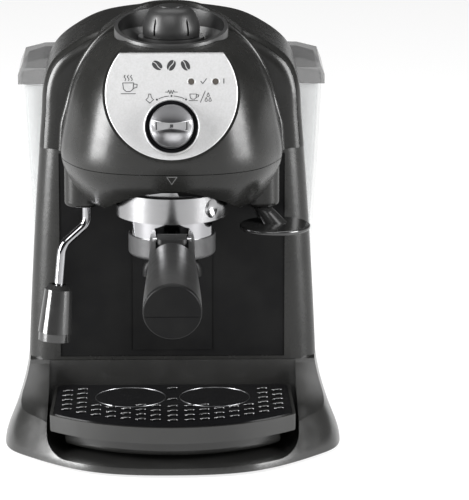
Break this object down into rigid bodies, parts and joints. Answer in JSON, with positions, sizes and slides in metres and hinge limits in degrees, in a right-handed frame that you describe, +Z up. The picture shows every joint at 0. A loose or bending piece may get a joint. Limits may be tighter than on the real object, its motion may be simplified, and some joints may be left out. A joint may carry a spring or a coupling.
{
  "type": "espresso machine",
  "caption": "Compact pump espresso machine with a domed brew head, filter holder, steam wand, drip tray and rear water tank.",
  "frame": {"origin": "middle of the overall box, on the floor that the feet stand on", "axes": "+X to the machine's right as seen from the front, +Y to the back (the handle points to -Y), +Z up"},
  "size_m": [0.208, 0.3304, 0.2751],
  "materials": {
    "casing_black": "satin gloss moulded plastic",
    "splash_black": "fine satin plastic",
    "grid_black": "gloss plastic",
    "panel_silver": "satin silver paint",
    "knob_silver": "polished",
    "chrome": "polished chrome",
    "collar_steel": "circumferentially brushed",
    "holder_grey": "dark grey paint",
    "handle_black": "satin heat-proof plastic",
    "sleeve_black": "glossy plastic",
    "tank_smoke": "smoked transparent plastic",
    "rubber_black": "matt rubber",
    "steel": "stainless steel",
    "boiler_alloy": "die cast",
    "brass": "machined brass",
    "pump_grey": "moulded",
    "bracket_steel": "zinc plated",
    "hose_white": "translucent hose",
    "lens_amber": "small lamp lens"
  },
  "bodies": {
    "machine_body": {"base_shell": "casing_black", "base_plate": "splash_black", "rubber_feet": "rubber_black", "cord_gland": "rubber_black", "column_housing": "casing_black", "back_splash": "splash_black", "splash_insert": "splash_black", "arch_cover": "casing_black", "rear_panel": "casing_black", "casing_screws": "steel", "front_hood": "casing_black", "head_underside": "casing_black", "control_panel": "panel_silver", "knob_bezel": "chrome", "indicator_lenses": "lens_amber", "selector_switch": "pump_grey", "knob_well": "casing_black", "steam_valve": "brass", "bayonet_ring": "holder_grey", "group_gasket": "rubber_black", "shower_screen": "steel", "screen_screw": "steel", "boiler_lower": "boiler_alloy", "boiler_upper": "boiler_alloy", "boiler_screws": "steel", "thermostats": "brass", "tank_seat": "pump_grey", "pump_body": "pump_grey", "pump_mounts": "rubber_black", "pump_bracket": "bracket_steel", "suction_hose": "hose_white", "pressure_pipe": "hose_white", "steam_pipe": "hose_white", "tamper": "casing_black"},
    "filter_holder": {"holder_collar": "collar_steel", "holder_bowl": "chrome", "holder_base": "holder_grey", "filter_basket": "steel", "holder_screw": "steel", "twin_spout": "handle_black", "holder_handle": "handle_black", "handle_end_cap": "handle_black", "lever_pin": "steel"},
    "basket_lever": {"basket_lever": "handle_black"},
    "steam_knob": {"steam_knob": "casing_black", "steam_knob_cap": "knob_silver", "valve_stem": "steel"},
    "selector": {"selector_knob": "knob_silver", "selector_shaft": "pump_grey"},
    "steam_wand": {"steam_wand": "chrome", "wand_swivel": "grid_black", "frother_nozzle": "rubber_black"},
    "frother": {"frother_sleeve": "sleeve_black", "frother_ring": "sleeve_black"},
    "water_tank": {"water_tank": "tank_smoke", "tank_valve": "pump_grey", "lid_pin": "steel"},
    "tank_lid": {"tank_lid": "casing_black"},
    "drip_tray": {"drip_tray": "casing_black"},
    "drip_grid": {"drip_grid": "grid_black"}
  },
  "joints": [
    {"name": "holder_turn", "type": "hinge", "parent": "machine_body", "child": "filter_holder", "pos_m": [0, -0.0152, 0.168], "axis": [0, 0, 1], "range_deg": [-45, 0]},
    {"name": "lever_flip", "type": "hinge", "parent": "filter_holder", "child": "basket_lever", "pos_m": [0, -0.0592, 0.143], "axis": [-1, 0, 0], "range_deg": [0, 35]},
    {"name": "steam_knob_turn", "type": "hinge", "parent": "machine_body", "child": "steam_knob", "pos_m": [0, -0.0022, 0.26], "axis": [0, 0, 1], "range_deg": [0, 270]},
    {"name": "selector_turn", "type": "hinge", "parent": "machine_body", "child": "selector", "pos_m": [0, -0.05883, 0.21127], "axis": [0, -0.9659, 0.2588], "range_deg": [-28, 28]},
    {"name": "wand_swing", "type": "hinge", "parent": "machine_body", "child": "steam_wand", "pos_m": [-0.0524, 0.0068, 0.174], "axis": [0, 0, 1], "range_deg": [-30, 90]},
    {"name": "frother_pull", "type": "slide", "parent": "steam_wand", "child": "frother", "axis": [-0.0916, -0.0764, -0.9929], "range_m": [0, 0.02]},
    {"name": "tank_lift", "type": "slide", "parent": "machine_body", "child": "water_tank", "axis": [0, 0, 1], "range_m": [0, 0.17]},
    {"name": "lid_open", "type": "hinge", "parent": "water_tank", "child": "tank_lid", "pos_m": [0, 0.1628, 0.2095], "axis": [-1, 0, 0], "range_deg": [0, 95]},
    {"name": "tray_slide", "type": "slide", "parent": "machine_body", "child": "drip_tray", "axis": [0, -1, 0], "range_m": [0, 0.14]},
    {"name": "grid_lift", "type": "slide", "parent": "drip_tray", "child": "drip_grid", "axis": [0, 0, 1], "range_m": [0, 0.03]}
  ]
}
